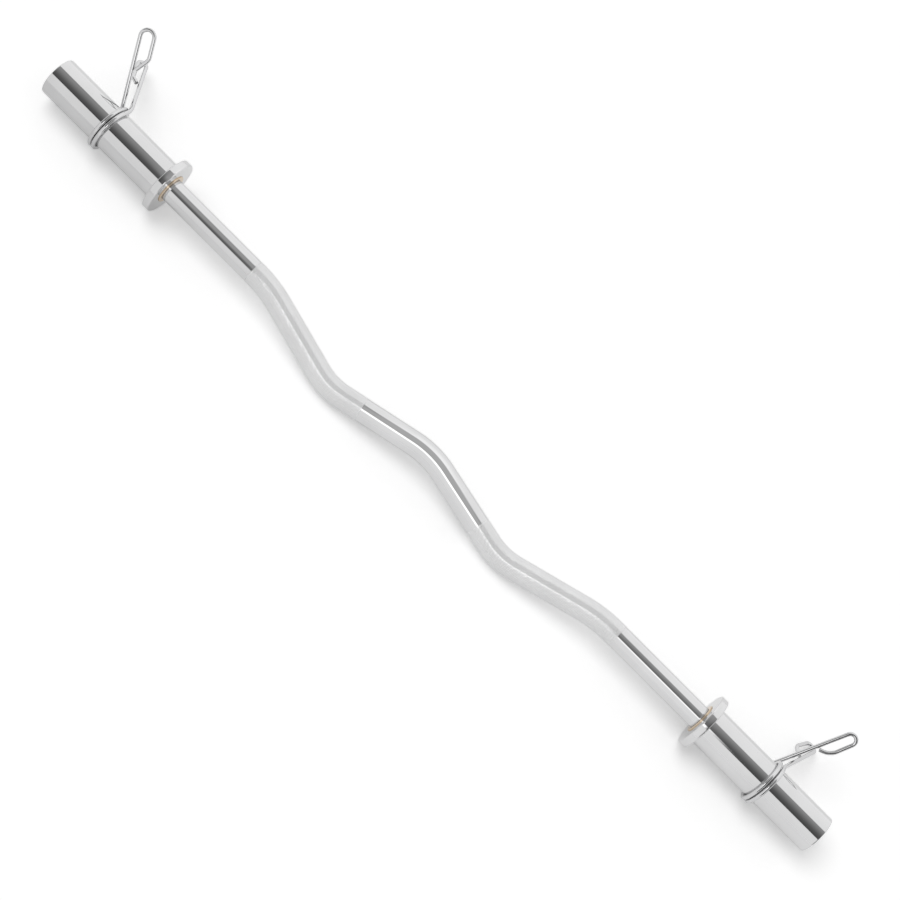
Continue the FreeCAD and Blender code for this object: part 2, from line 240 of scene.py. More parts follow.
class StageSettings(bpy.types.PropertyGroup):
    """Camera, floor and light."""

    camera_elevation: angle("Camera elevation", "Height of the camera over the bar", 57.0)
    camera_yaw: angle("Camera yaw", "How far the camera stands towards the right end", 1.93)
    camera_distance: length("Camera distance", "From the camera to the middle of the bar", 2.235)
    camera_right: length("Camera shift right", "Sideways shift of the camera along the bar", 0.0112)
    camera_up: length("Camera shift up", "Shift of the camera across the bar", 0.0146)
    camera_roll: angle("Camera roll", "Turn of the picture", 45.0)
    camera_lens: FloatProperty(name="Lens", description="Focal length on a 36 mm sensor",
                               default=80.05, min=1, subtype="DISTANCE_CAMERA")
    floor_reach: length("Floor reach", "From the middle of the floor to its edges", 20.0)
    floor_colour: colour("Floor", "Colour of the floor", (0.9, 0.9, 0.9))
    floor_lift: share("Floor lift", "Extra brightness of the floor where it is seen or mirrored", 0.34)
    # Painted shadow in the floor's gloss, in front of the bar's left end: how much of the lift is left
    # there, and where it fades
    painted_shadow_lift: share("Floor dim", "Share of the lift that is left where the left end mirrors it", 0.42)
    painted_shadow_start: length("Dim start", "Where the mirrored floor begins to dim, left of the middle", 0.05)
    painted_shadow_end: length("Dim end", "Where the mirrored floor is dimmest, left of the middle", 0.6)
    painted_shadow_edge: length("Dim edge", "Width of the blend to the undimmed floor behind the bar", 0.03)
    sky: share("Sky", "Even light from all sides", 0.48)
    lamp_strength: strength("Lamp", "Strength of the soft key light", 1.02)
    lamp_spread: angle("Lamp spread", "Width of the soft key light as the bar sees it", 42.0)
    lamp_side: FloatVectorProperty(name="Lamp side", description="Where the soft key light comes from",
                                   default=(-0.5, -0.1, 1.0), subtype="DIRECTION")
    tent_radius: length("Tent radius", "Distance of the mirrored panels from the bar", 1.5)
    tent_reach: length("Tent reach", "How far the panels run to each side of the middle", 3.0)
    tent_level: strength("Tent level", "Brightness of a mirrored panel of level 1", 1.5)
    tent_spill: share("Tent spill", "Share of the panels' light that chrome throws on the floor", 0.4)
    tent_blend: length("Tent blend", "Half width of the blend between two sets of panels", 0.045)


# Materials, on a shared shader node group


def add_node(tree, kind, place, inputs=None, **settings):
    """New node at a place in the tree, with its own settings and the values of its inputs."""
    node = tree.nodes.new(kind)
    node.location = place
    for name, value in settings.items():
        setattr(node, name, value)
    for socket, value in (inputs or {}).items():
        node.inputs[socket].default_value = value
    return node


def join(tree, *links):
    """Link nodes. Each link is a node, its output, another node and its input."""
    for start, output, end, socket in links:
        tree.links.new(start.outputs[output], end.inputs[socket])


def node_of(tree, kind):
    """The first node of a kind in the tree."""
    return next(node for node in tree.nodes if node.type == kind)


# Share of the fine lines, beside the clouds, in the uneven polish of a plated surface
LINE_SHARE = 0.35


def plating_group():
    """Group for a plated surface: cloudy colour, uneven polish and fine turned or drawn lines."""
    if "plated_surface" in bpy.data.node_groups:
        return bpy.data.node_groups["plated_surface"]
    group = bpy.data.node_groups.new("plated_surface", "ShaderNodeTree")
    sockets = (
        ("Coordinates", "INPUT", "NodeSocketVector"),
        ("Lines", "INPUT", "NodeSocketVector"),
        ("Colour", "INPUT", "NodeSocketColor"),
        ("Roughness", "INPUT", "NodeSocketFloat"),
        ("Unevenness", "INPUT", "NodeSocketFloat"),
        ("Colour", "OUTPUT", "NodeSocketColor"),
        ("Roughness", "OUTPUT", "NodeSocketFloat"),
        ("Height", "OUTPUT", "NodeSocketFloat"),
    )
    for name, way, kind in sockets:
        group.interface.new_socket(name=name, in_out=way, socket_type=kind)
    inputs = add_node(group, "NodeGroupInput", (-900, 0))
    outputs = add_node(group, "NodeGroupOutput", (700, 0))

    clouds = add_node(group, "ShaderNodeTexNoise", (-650, 250), {"Scale": 28.0, "Detail": 5.0})
    lines_at = add_node(group, "ShaderNodeVectorMath", (-700, -150), operation="MULTIPLY")
    lines = add_node(group, "ShaderNodeTexNoise", (-480, -150), {"Scale": 1.0, "Detail": 3.0})
    cloud_shades = {"From Min": 0.3, "From Max": 0.7, "To Min": 0.965, "To Max": 1.02}
    shade = add_node(group, "ShaderNodeMapRange", (-380, 300), cloud_shades)
    tint = add_node(group, "ShaderNodeVectorMath", (-120, 250), operation="SCALE")
    mixed = add_node(group, "ShaderNodeMath", (-250, -30), {1: LINE_SHARE}, operation="MULTIPLY_ADD")
    smear = add_node(group, "ShaderNodeMath", (0, 60), operation="MULTIPLY_ADD")
    join(
        group,
        (inputs, "Coordinates", clouds, "Vector"),
        (inputs, "Coordinates", lines_at, 0),
        (inputs, "Lines", lines_at, 1),
        (lines_at, "Vector", lines, "Vector"),
        (clouds, "Fac", shade, "Value"),
        (inputs, "Colour", tint, 0),
        (shade, "Result", tint, "Scale"),
        (tint, "Vector", outputs, "Colour"),
        (lines, "Fac", mixed, 0),
        (clouds, "Fac", mixed, 2),
        (mixed, "Value", smear, 0),
        (inputs, "Unevenness", smear, 1),
        (inputs, "Roughness", smear, 2),
        (smear, "Value", outputs, "Roughness"),
        (lines, "Fac", outputs, "Height"),
    )
    return group


# How closely the fine lines follow each other along X, Y and Z: rings round the bar, or an even grain
RINGS_ROUND_X = (2600.0, 35.0, 35.0)
SHORT_GRAIN = (900.0, 900.0, 900.0)
# Colour of metal seen at a flat angle
FLAT_ANGLE_TINT = (0.9, 0.9, 0.9, 1.0)


def plated(name, tint, roughness, unevenness, lines, relief):
    """Metal material on the shared group. relief is the depth of its fine lines in metres."""
    material = bpy.data.materials.new(name)
    material.use_nodes = True
    tree = material.node_tree
    shader = node_of(tree, "BSDF_PRINCIPLED")
    shader.inputs["Metallic"].default_value = 1.0
    shader.inputs["Specular Tint"].default_value = FLAT_ANGLE_TINT
    place = add_node(tree, "ShaderNodeTexCoord", (-900, 0))
    values = {"Lines": lines, "Colour": (*tint, 1.0), "Roughness": roughness, "Unevenness": unevenness}
    surface = add_node(tree, "ShaderNodeGroup", (-600, 0), values, node_tree=plating_group())
    bump = add_node(tree, "ShaderNodeBump", (-300, -200), {"Strength": 1.0, "Distance": relief})
    join(
        tree,
        (place, "Object", surface, "Coordinates"),
        (surface, "Colour", shader, "Base Color"),
        (surface, "Roughness", shader, "Roughness"),
        (surface, "Height", bump, "Height"),
        (bump, "Normal", shader, "Normal"),
    )
    return material


# Looks of the knurl: a crest value over TOP_START is a point's flat top, the rest its frosted facets
TOP_START = 0.97
TOP_ROUGHNESS_SHARE = 0.2
FACET_METALLIC = 0.15
# Painted shade: the knurl's colour is scaled down in its grooves and a little up on its crests
GROOVE_PAINTED_SHADE = 0.9
CREST_PAINTED_SHADE = 1.03
DENT_DEPTH = 1.6e-4


def knurled(name, tint, roughness):
    """Plated material that the crest attribute makes frosted on the facets and polished on the tops, and
    colours with painted shade: darker in the grooves, a little lighter on the crests.
    """
    material = plated(name, tint, roughness, unevenness=0.1, lines=SHORT_GRAIN, relief=2e-6)
    tree = material.node_tree
    shader = node_of(tree, "BSDF_PRINCIPLED")
    surface = node_of(tree, "GROUP")
    place = node_of(tree, "TEX_COORD")
    grain = node_of(tree, "BUMP")
    crest = add_node(tree, "ShaderNodeAttribute", (-800, 350), attribute_name="crest")
    plate = add_node(tree, "ShaderNodeMapRange", (-400, 600),
                     {"From Min": TOP_START, "To Min": FACET_METALLIC})
    # Painted shade: the colour darkens from the crests down into the grooves
    groove = add_node(tree, "ShaderNodeMapRange", (-400, 350),
                      {"To Min": GROOVE_PAINTED_SHADE, "To Max": CREST_PAINTED_SHADE})
    land = add_node(tree, "ShaderNodeMapRange", (-400, 100),
                    {"From Min": TOP_START, "To Min": 1.0, "To Max": TOP_ROUGHNESS_SHARE})
    painted_groove_shade = add_node(tree, "ShaderNodeVectorMath", (-200, 250), operation="SCALE")
    polish = add_node(tree, "ShaderNodeMath", (-200, 50), operation="MULTIPLY")
    dents = add_node(tree, "ShaderNodeTexNoise", (-600, -350), {"Scale": 620.0, "Detail": 1.0})
    uneven = add_node(tree, "ShaderNodeBump", (-100, -350), {"Strength": 1.0, "Distance": DENT_DEPTH})
    join(
        tree,
        (place, "Object", dents, "Vector"),
        (dents, "Fac", uneven, "Height"),
        (grain, "Normal", uneven, "Normal"),
        (uneven, "Normal", shader, "Normal"),
        (crest, "Fac", land, "Value"),
        (crest, "Fac", plate, "Value"),
        (plate, "Result", shader, "Metallic"),
        (surface, "Roughness", polish, 0),
        (land, "Result", polish, 1),
        (polish, "Value", shader, "Roughness"),
        (crest, "Fac", groove, "Value"),
        (surface, "Colour", painted_groove_shade, 0),
        (groove, "Result", painted_groove_shade, "Scale"),
        (painted_groove_shade, "Vector", shader, "Base Color"),
    )
    return material


def finish_material(kind):
    """Material of one finish, made once."""
    if kind in bpy.data.materials:
        return bpy.data.materials[kind]
    finishes = bpy.context.scene.curl_bar_finishes
    if kind == "knurl_chrome_plate":
        return knurled(kind, finishes.knurl, finishes.knurl_roughness)
    # Colour, roughness, unevenness of the roughness, and pattern and depth of the fine lines
    chrome = (finishes.chrome, finishes.chrome_roughness, 0.03, RINGS_ROUND_X, 2e-7)
    surfaces = {
        "shaft_chrome_plate": chrome,
        "sleeve_chrome_plate": chrome,
        "spring_wire_plate": (finishes.wire, finishes.wire_roughness, 0.06, SHORT_GRAIN, 1e-6),
        "cut_wire_steel": (finishes.cut_wire, finishes.cut_wire_roughness, 0.2, SHORT_GRAIN, 2e-5),
        "bushing_bronze": (finishes.bronze, finishes.bronze_roughness, 0.12, RINGS_ROUND_X, 1e-6),
        "washer_steel": (finishes.steel, finishes.steel_roughness, 0.2, SHORT_GRAIN, 5e-6),
    }
    return plated(kind, *surfaces[kind])


# Modelling


def around(turn):
    """Direction across the bar, counted from +Y towards +Z."""
    return Vector((0, math.cos(turn), math.sin(turn)))


class RoundBar:
    """Round bar or wire, drawn by moving a ring of edges along straight runs, bends and coils."""

    def __init__(self, radius, sides, place, heading, capped=True):
        self.bm = bmesh.new()
        self.place = Vector(place)
        self.heading = Vector(heading).normalized()
        turn = self.heading.to_track_quat("Z", "X").to_matrix().to_4x4()
        bmesh.ops.create_circle(self.bm, cap_ends=capped, segments=sides, radius=radius,
                                matrix=Matrix.Translation(self.place) @ turn)
        self.ring = self.bm.edges[:]

    def move_ring(self, centre, axis, turn, steps, shift):
        """Pull new faces from the ring, turned and shifted in equal steps."""
        corners = list(dict.fromkeys(corner for edge in self.ring for corner in edge.verts))
        made = bmesh.ops.spin(self.bm, geom=corners + self.ring, cent=centre, axis=axis, dvec=shift,
                              angle=turn, steps=steps, use_merge=False, use_duplicate=False)
        self.ring = [item for item in made["geom_last"] if isinstance(item, bmesh.types.BMEdge)]

    def straight(self, reach, steps=1):
        """Run on in a straight line."""
        self.move_ring(self.place, self.heading, 0.0, steps, self.heading * (reach / steps))
        self.place = self.place + self.heading * reach

    def bend(self, radius, turn, axis, steps):
        """Bend about an axis across the bar, by the right-hand rule."""
        inward = axis.cross(self.heading) * math.copysign(1, turn)
        centre = self.place + inward * radius
        self.move_ring(centre, axis, turn, steps, Vector())
        turned = Matrix.Rotation(turn, 3, axis)
        self.place = centre + turned @ (self.place - centre)
        self.heading = turned @ self.heading

    def coil(self, turn, rise, steps):
        """Wind about the sleeve axis while moving along it."""
        self.move_ring(SLEEVE_AXIS, X_AXIS, turn, steps, X_AXIS * (rise / steps))
        turned = Matrix.Rotation(turn, 3, X_AXIS)
        self.place = SLEEVE_AXIS + turned @ (self.place - SLEEVE_AXIS) + X_AXIS * rise
        self.heading = turned @ self.heading

    def close(self):
        """Close the end of the bar with a flat face."""
        return bmesh.ops.contextual_create(self.bm, geom=self.ring)["faces"]


def merge_and_turn_out(bm):
    """Merge points that coincide, then point all faces outwards."""
    bmesh.ops.remove_doubles(bm, verts=bm.verts[:], dist=MERGE_DISTANCE)
    bmesh.ops.recalc_face_normals(bm, faces=bm.faces[:])


def turned_solid(outline, side, steps):
    """Mesh turned about the sleeve axis from the (x, radius) corners of its section."""
    bm = bmesh.new()
    corners = [bm.verts.new(SLEEVE_AXIS + Vector((side * x, 0, radius))) for x, radius in outline]
    section = [bm.edges.new(pair) for pair in zip(corners, corners[1:] + corners[:1])]
    bmesh.ops.spin(bm, geom=corners + section, cent=SLEEVE_AXIS, axis=X_AXIS, angle=FULL_TURN,
                   steps=steps, use_merge=True, use_duplicate=False)
    merge_and_turn_out(bm)
    return bm


def round_rims(bm, width, radius, x=None):
    """Round the sharp turned edges of a radius, at one place along the bar if x is given."""
    rims = []
    for edge in bm.edges:
        if len(edge.link_faces) == 2 and edge.calc_face_angle() > SHARP:
            corner = edge.verts[0].co - SLEEVE_AXIS
            at_radius = abs(math.hypot(corner.y, corner.z) - radius) < RIM_DISTANCE
            at_x = x is None or abs(abs(corner.x) - x) < RIM_DISTANCE
            if at_radius and at_x:
                rims.append(edge)
    bmesh.ops.bevel(bm, geom=rims, offset=width, offset_type="OFFSET", affect="EDGES",
                    segments=RIM_SEGMENTS, profile=0.5, material=-1, clamp_overlap=True)


def put_piece(name, bm, body, materials, nodes, smooth=True):
    """Make an object of a mesh, let it ride on a body and hide the nodes it stands for."""
    merge_and_turn_out(bm)
    for face in bm.faces:
        face.smooth = smooth
    mesh = bpy.data.meshes.new(name)
    bm.to_mesh(mesh)
    bm.free()
    if smooth:
        mesh.set_sharp_from_angle(angle=SHARP)
    for material in materials:
        mesh.materials.append(finish_material(material))
    piece = bpy.data.objects.new(name, mesh)
    bpy.context.scene.collection.objects.link(piece)
    if smooth:
        piece.modifiers.new("Even shading", "WEIGHTED_NORMAL").keep_sharp = True
    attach(piece, body)
    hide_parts(*nodes)


def shaft_runs(sizes):
    """The shaft's pieces from left to right: name, and straight lengths and (radius, angle) bends."""
    slope_out = math.atan2(sizes.dip_depth, sizes.outer_bend_x - sizes.dip_x)
    slope_in = math.atan2(sizes.dip_depth - sizes.hump_depth, sizes.dip_x)
    outer_tangent = sizes.outer_bend_radius * math.tan(slope_out / 2)
    dip_tangent = sizes.dip_bend_radius * math.tan((slope_out + slope_in) / 2)
    hump_tangent = sizes.hump_bend_radius * math.tan(slope_in)
    outer_slope = (sizes.outer_bend_x - sizes.dip_x) / math.cos(slope_out) - outer_tangent - dip_tangent
    inner_slope = sizes.dip_x / math.cos(slope_in) - dip_tangent - hump_tangent
    hump = (sizes.hump_bend_radius, 2 * slope_in)
    plain_end = {}
    grip = {}
    middle = {}
    for name, shift in (("left", sizes.left_knurl_shift), ("right", 0.0)):
        grip_slope = (sizes.dip_x - sizes.knurl_inner_x + shift) / math.cos(slope_in) - dip_tangent
        plain_end[name] = sizes.shoulder_x - sizes.knurl_outer_x + shift
        grip[name] = [
            sizes.knurl_outer_x - shift - sizes.outer_bend_x - outer_tangent,
            (sizes.outer_bend_radius, slope_out),
            outer_slope,
            (sizes.dip_bend_radius, -slope_out - slope_in),
            grip_slope,
        ]
        middle[name] = inner_slope - grip_slope
    return [
        ("left_plain", [plain_end["left"]]),
        ("left_grip", grip["left"]),
        ("middle", [middle["left"], hump, middle["right"]]),
        ("right_grip", grip["right"][::-1]),
        ("right_plain", [plain_end["right"]]),
    ]


def cut_knurl(bm, depth, land):
    """Turn a grid of faces into knurl diamonds.

    Each edge of the grid becomes a blunt point between four grooves, and the open ends are closed.
    """
    crest = bm.verts.layers.float.new("crest")
    grid = [edge for edge in bm.edges if len(edge.link_faces) == 2]
    rims = [edge for edge in bm.edges if len(edge.link_faces) == 1]
    bmesh.ops.poke(bm, faces=bm.faces[:], offset=0.0, center_mode="MEAN")
    bmesh.ops.holes_fill(bm, edges=rims, sides=0)
    made = bmesh.ops.subdivide_edges(bm, edges=grid, cuts=1, use_single_edge=True)
    points = [item for item in made["geom_inner"] if isinstance(item, bmesh.types.BMVert)]
    bmesh.ops.recalc_face_normals(bm, faces=bm.faces[:])
    bm.normal_update()
    for point in points:
        point.co += point.normal * depth / (1 - land)
    percent = 100 * land
    tops = bmesh.ops.bevel(bm, geom=points, offset=percent, offset_type="PERCENT", affect="VERTICES",
                           segments=1, profile=0.5, material=-1)
    for corner in tops["verts"]:
        corner[crest] = 1.0


class CURLBAR_OT_shaft(bpy.types.Operator):
    """Make the bent shaft, its knurled grips and its spindles."""

    bl_idname = "curl_bar.make_shaft"
    bl_label = "Make Shaft"

    def make_run(self, sizes, name, runs, place, heading):
        """One knurled or plain piece of the shaft. Gives the place and heading at its end."""
        grip = name.endswith("grip")
        radius = sizes.knurl_valley_radius if grip else sizes.radius
        sides = sizes.knurl_around if grip else sizes.plain_sides
        step = sizes.knurl_row if grip else sizes.plain_step
        lap_before = 0.0 if grip or name == "left_plain" else sizes.knurl_lap
        lap_after = 0.0 if grip or name == "right_plain" else sizes.knurl_lap
        forward = Vector((0, -math.cos(sizes.tilt), -math.sin(sizes.tilt)))
        across = X_AXIS.cross(forward)
        bar = RoundBar(radius, sides, place - heading * lap_before, heading, capped=not grip)
        if lap_before:
            bar.straight(lap_before)
        for run in runs:
            if isinstance(run, tuple):
                bend_radius, turn = run
                bar.bend(bend_radius, turn, across, max(1, round(abs(turn) * bend_radius / step)))
            else:
                bar.straight(run, max(1, round(run / step)) if grip else 1)
        end = bar.place, bar.heading
        if lap_after:
            bar.straight(lap_after)
        if grip:
            cut_knurl(bar.bm, sizes.knurl_depth, sizes.knurl_land)
        else:
            bar.close()
        finish = ["knurl_chrome_plate" if grip else "shaft_chrome_plate"]
        put_piece("shaft_" + name, bar.bm, "shaft", finish, ["shaft"], smooth=not grip)
        return end

    def make_spindles(self, sizes):
        """The turned ends of the shaft inside the sleeves, with a groove for the retaining ring."""
        groove_end = sizes.groove_x + sizes.groove_width
        groove_radius = sizes.spindle_radius - sizes.groove_depth
        outline = [
            (sizes.shoulder_x, 0),
            (sizes.shoulder_x, sizes.spindle_radius),
            (sizes.groove_x, sizes.spindle_radius),
            (sizes.groove_x, groove_radius),
            (groove_end, groove_radius),
            (groove_end, sizes.spindle_radius),
            (sizes.spindle_end_x, sizes.spindle_radius),
            (sizes.spindle_end_x, 0),
        ]
        for name, side in SIDES.items():
            bm = turned_solid(outline, side, SPINDLE_STEPS)
            round_rims(bm, sizes.spindle_round, sizes.spindle_radius, sizes.spindle_end_x)
            put_piece(name + "_spindle", bm, "shaft", ["shaft_chrome_plate"], ["shaft"])

    def execute(self, context):
        sizes = context.scene.curl_bar_shaft
        place = SLEEVE_AXIS - X_AXIS * sizes.shoulder_x
        heading = X_AXIS
        for name, runs in shaft_runs(sizes):
            place, heading = self.make_run(sizes, name, runs, place, heading)
        self.make_spindles(sizes)
        return {"FINISHED"}


class CURLBAR_OT_sleeves(bpy.types.Operator):
    """Make the sleeve tubes, flanges and end caps."""

    bl_idname = "curl_bar.make_sleeves"
    bl_label = "Make Sleeves"

    def execute(self, context):
        sizes = context.scene.curl_bar_sleeves
        tube = [
            (sizes.spigot_x, sizes.bore_radius),
            (sizes.spigot_x, sizes.spigot_radius),
            (sizes.flange_outer_x, sizes.spigot_radius),
            (sizes.flange_outer_x, sizes.radius),
            (sizes.end_x, sizes.radius),
            (sizes.end_x, sizes.bore_radius),
        ]
        flange = [
            (sizes.flange_inner_x, sizes.bore_radius),
            (sizes.flange_inner_x, sizes.flange_radius),
            (sizes.flange_outer_x, sizes.flange_radius),
            (sizes.flange_outer_x, sizes.spigot_radius),
            (sizes.spigot_x, sizes.spigot_radius),
            (sizes.spigot_x, sizes.bore_radius),
        ]
        cap_skirt_x = sizes.cap_outer_x - sizes.cap_length
        cap_inside_x = sizes.cap_outer_x - sizes.cap_wall
        cap_hollow = sizes.bore_radius - sizes.cap_wall
        cap = [
            (cap_skirt_x, cap_hollow),
            (cap_skirt_x, sizes.bore_radius),
            (sizes.cap_outer_x, sizes.bore_radius),
            (sizes.cap_outer_x, 0),
            (cap_inside_x, 0),
            (cap_inside_x, cap_hollow),
        ]
        finish = ["sleeve_chrome_plate"]
        for name, side in SIDES.items():
            body = name + "_sleeve"
            bm = turned_solid(tube, side, SLEEVE_STEPS)
            round_rims(bm, sizes.end_round, sizes.radius, sizes.end_x)
            round_rims(bm, sizes.edge_round, sizes.bore_radius, sizes.end_x)
            put_piece(name + "_plate_sleeve", bm, body, finish, [name + "_sleeve_tube"])
            bm = turned_solid(flange, side, FLANGE_STEPS)
            round_rims(bm, sizes.flange_round, sizes.flange_radius)
            round_rims(bm, sizes.edge_round, sizes.bore_radius, sizes.flange_inner_x)
            put_piece(name + "_plate_stop", bm, body, finish, [name + "_flange"])
            bm = turned_solid(cap, side, CAP_STEPS)
            round_rims(bm, sizes.cap_round, sizes.bore_radius, sizes.cap_outer_x)
            put_piece(name + "_sleeve_plug", bm, body, finish, [name + "_end_cap"])
        return {"FINISHED"}


class CURLBAR_OT_bearings(bpy.types.Operator):
    """Make the bronze bushings that show, and finish the bearing parts inside the sleeves."""

    bl_idname = "curl_bar.make_bearings"
    bl_label = "Make Bearings"

    def execute(self, context):
        sizes = context.scene.curl_bar_sleeves
        bushing_end_x = sizes.bushing_face_x + sizes.bushing_length
        outline = [
            (sizes.bushing_face_x, sizes.bushing_bore),
            (sizes.bushing_face_x, sizes.bore_radius),
            (bushing_end_x, sizes.bore_radius),
            (bushing_end_x, sizes.bushing_bore),
        ]
        inside = {
            "outer_bushing": "bushing_bronze",
            "thrust_washer": "washer_steel",
            "retaining_ring": "washer_steel",
        }
        for name, side in SIDES.items():
            bm = turned_solid(outline, side, BUSHING_STEPS)
            round_rims(bm, sizes.bushing_round, sizes.bore_radius)
            put_piece(name + "_bronze_bushing", bm, name + "_sleeve", ["bushing_bronze"],
                      [name + "_inner_bushing"])
            for node, finish in inside.items():
                mesh = frame["nodes"][name + "_" + node].data
                mesh.materials.clear()
                mesh.materials.append(finish_material(finish))
        return {"FINISHED"}


class CURLBAR_OT_collars(bpy.types.Operator):
    """Make the wire spring collars: a coil and two looped handles on each sleeve."""

    bl_idname = "curl_bar.make_collars"
    bl_label = "Make Collars"

    def coil_end(self, sizes, side, collar_turn, half_turn):
        """Place and heading of the wire where one end of the coil leaves the sleeve."""
        turn = collar_turn + half_turn
        along = side * sizes.coil_x - sizes.coil_pitch * half_turn / FULL_TURN
        place = SLEEVE_AXIS + around(turn) * sizes.coil_radius + X_AXIS * along
        slope = math.atan2(sizes.coil_pitch, FULL_TURN * sizes.coil_radius)
        heading = around(turn + math.pi / 2) * math.cos(slope) - X_AXIS * math.sin(slope)
        return place, heading

    def make_coil(self, sizes, side, collar_turn, coil_turn):
        """Coil of the collar, with a short straight stub at both ends."""
        place, heading = self.coil_end(sizes, side, collar_turn, -coil_turn / 2)
        wire = RoundBar(sizes.wire_radius, sizes.wire_sides, place - heading * sizes.stub, heading)
        wire.straight(sizes.stub)
        wire.coil(coil_turn, -sizes.coil_pitch * coil_turn / FULL_TURN, COIL_STEPS)
        wire.straight(sizes.stub)
        wire.close()
        return wire.bm

    def make_handle(self, sizes, number, start, heading, side, loop_side):
        """Leg and teardrop loop of one handle. loop_side is the X sign that its loop opens to."""
        wire = RoundBar(sizes.wire_radius, sizes.wire_sides, start, heading)
        along = Vector((0, heading.y, heading.z)).normalized()
        across = along.cross(X_AXIS)
        lean = side * sizes.lean[number]
        tip = sizes.tip_radius[number]
        flare = sizes.flare[number]
        back = sizes.loop_return[number]
        close = sizes.loop_close[number]
        close_radius = sizes.close_radius[number]
        wire.bend(sizes.lean_bend_radius[number], lean - math.asin(heading.x), across, LEAN_STEPS)
        gone = (wire.place - start).dot(along) + sizes.stub
        reach = sizes.handle_reach[number] - gone - tip - sizes.wire_radius
        reach += loop_side * tip * math.sin(lean)
        wire.straight(reach / math.cos(lean))
        wire.bend(tip, loop_side * (math.pi - flare), across, TIP_STEPS)
        wire.straight(back)
        wire.bend(close_radius, loop_side * (close + flare), across, CLOSE_STEPS)
        width = tip * (1 + math.cos(flare)) + back * math.sin(flare)
        width -= close_radius * (math.cos(flare) - math.cos(close))
        nearest = sizes.wire_radius * (1 + math.cos(close)) + sizes.loop_end_gap
        wire.straight((width - nearest) / math.sin(close))
        for face in wire.close():
            face.material_index = 1
            bmesh.ops.bevel(wire.bm, geom=face.edges[:], offset=sizes.wire_end_round,
                            offset_type="OFFSET", affect="EDGES", segments=WIRE_END_SEGMENTS,
                            profile=0.5, material=-1)
        return wire.bm

    def execute(self, context):
        sizes = context.scene.curl_bar_collars
        coil_turn = sizes.coil_turn + sizes.leg_spread
        finish = ["spring_wire_plate", "cut_wire_steel"]
        for name, side in SIDES.items():
            turn = getattr(sizes, name + "_turn")
            bm = self.make_coil(sizes, side, turn, coil_turn)
            put_piece(name + "_wire_coil", bm, name + "_collar", finish,
                      [name + "_collar_spring"])
            for level, way in (("upper", 1), ("lower", -1)):
                place, heading = self.coil_end(sizes, side, turn, way * coil_turn / 2)
                heading = heading * way
                start = place + heading * sizes.stub
                number = HANDLES.index(name + "_" + level)
                bm = self.make_handle(sizes, number, start, heading, side, way)
                put_piece(name + "_wire_" + level + "_handle", bm, name + "_" + level + "_handle",
                          finish, [name + "_collar_" + level + "_handle"])
        return {"FINISHED"}


# Stage


def seen_or_mirrored(tree, place):
    """Node that gives 1 for what is seen, directly or in gloss or glass, and 0 for light on the floor."""
    across, up = place
    path = add_node(tree, "ShaderNodeLightPath", place)
    gloss = add_node(tree, "ShaderNodeMath", (across + 200, up), operation="MAXIMUM")
    both = add_node(tree, "ShaderNodeMath", (across + 400, up), operation="MAXIMUM")
    seen = add_node(tree, "ShaderNodeMath", (across + 600, up), operation="SUBTRACT", use_clamp=True)
    join(
        tree,
        (path, "Is Camera Ray", gloss, 0),
        (path, "Is Glossy Ray", gloss, 1),
        (gloss, "Value", both, 0),
        (path, "Is Transmission Ray", both, 1),
        (both, "Value", seen, 0),
        (path, "Diffuse Depth", seen, 1),
    )
    return seen


def stage_material(name):
    """New material with no shader yet, for the stage."""
    material = bpy.data.materials.new(name)
    material.use_nodes = True
    tree = material.node_tree
    tree.nodes.remove(node_of(tree, "BSDF_PRINCIPLED"))
    return material


def floor_material(settings):
    """Pale matt floor that reads as white where no shadow falls.

    In gloss, it carries a painted shadow: dimmer in front of the bar's left end.
    """
    material = stage_material("studio_floor")
    tree = material.node_tree
    output = node_of(tree, "OUTPUT_MATERIAL")
    paint = add_node(tree, "ShaderNodeBsdfDiffuse", (-200, 100),
                     {"Color": (*settings.floor_colour, 1.0)})
    lift = add_node(tree, "ShaderNodeEmission", (-200, -100))
    amount = add_node(tree, "ShaderNodeMath", (-400, -150), {1: settings.floor_lift},
                      operation="MULTIPLY")
    both = add_node(tree, "ShaderNodeAddShader", (0, 0))
    seen = seen_or_mirrored(tree, (-1200, -150))
    place = add_node(tree, "ShaderNodeTexCoord", (-1000, -450))
    parts = add_node(tree, "ShaderNodeSeparateXYZ", (-800, -450))
    # Painted shadow on the mirrored floor: the lift fades towards the bar's left end, in front of the bar
    # only, and only in gloss
    painted_shadow_along = {
        "From Min": -settings.painted_shadow_end,
        "From Max": -settings.painted_shadow_start,
        "To Min": settings.painted_shadow_lift,
    }
    dim = add_node(tree, "ShaderNodeMapRange", (-600, -450), painted_shadow_along)
    painted_shadow_front = {
        "From Min": SLEEVE_AXIS.y - settings.painted_shadow_edge,
        "From Max": SLEEVE_AXIS.y,
        "To Min": 1.0,
        "To Max": 0.0,
    }
    front = add_node(tree, "ShaderNodeMapRange", (-600, -750), painted_shadow_front)
    path = add_node(tree, "ShaderNodeLightPath", (-800, -1000))
    mirrored = add_node(tree, "ShaderNodeMath", (-500, -1000), operation="MULTIPLY")
    shown = add_node(tree, "ShaderNodeMix", (-400, -450), {"A": 1.0})
    brightness = add_node(tree, "ShaderNodeMath", (-250, -300), operation="MULTIPLY")
    join(
        tree,
        (place, "Object", parts, "Vector"),
        (parts, "X", dim, "Value"),
        (parts, "Y", front, "Value"),
        (path, "Is Glossy Ray", mirrored, 0),
        (front, "Result", mirrored, 1),
        (mirrored, "Value", shown, "Factor"),
        (dim, "Result", shown, "B"),
        (seen, "Value", amount, 0),
        (amount, "Value", brightness, 0),
        (shown, "Result", brightness, 1),
        (brightness, "Value", lift, "Strength"),
        (paint, "BSDF", both, 0),
        (lift, "Emission", both, 1),
        (both, "Shader", output, "Surface"),
    )
    return material


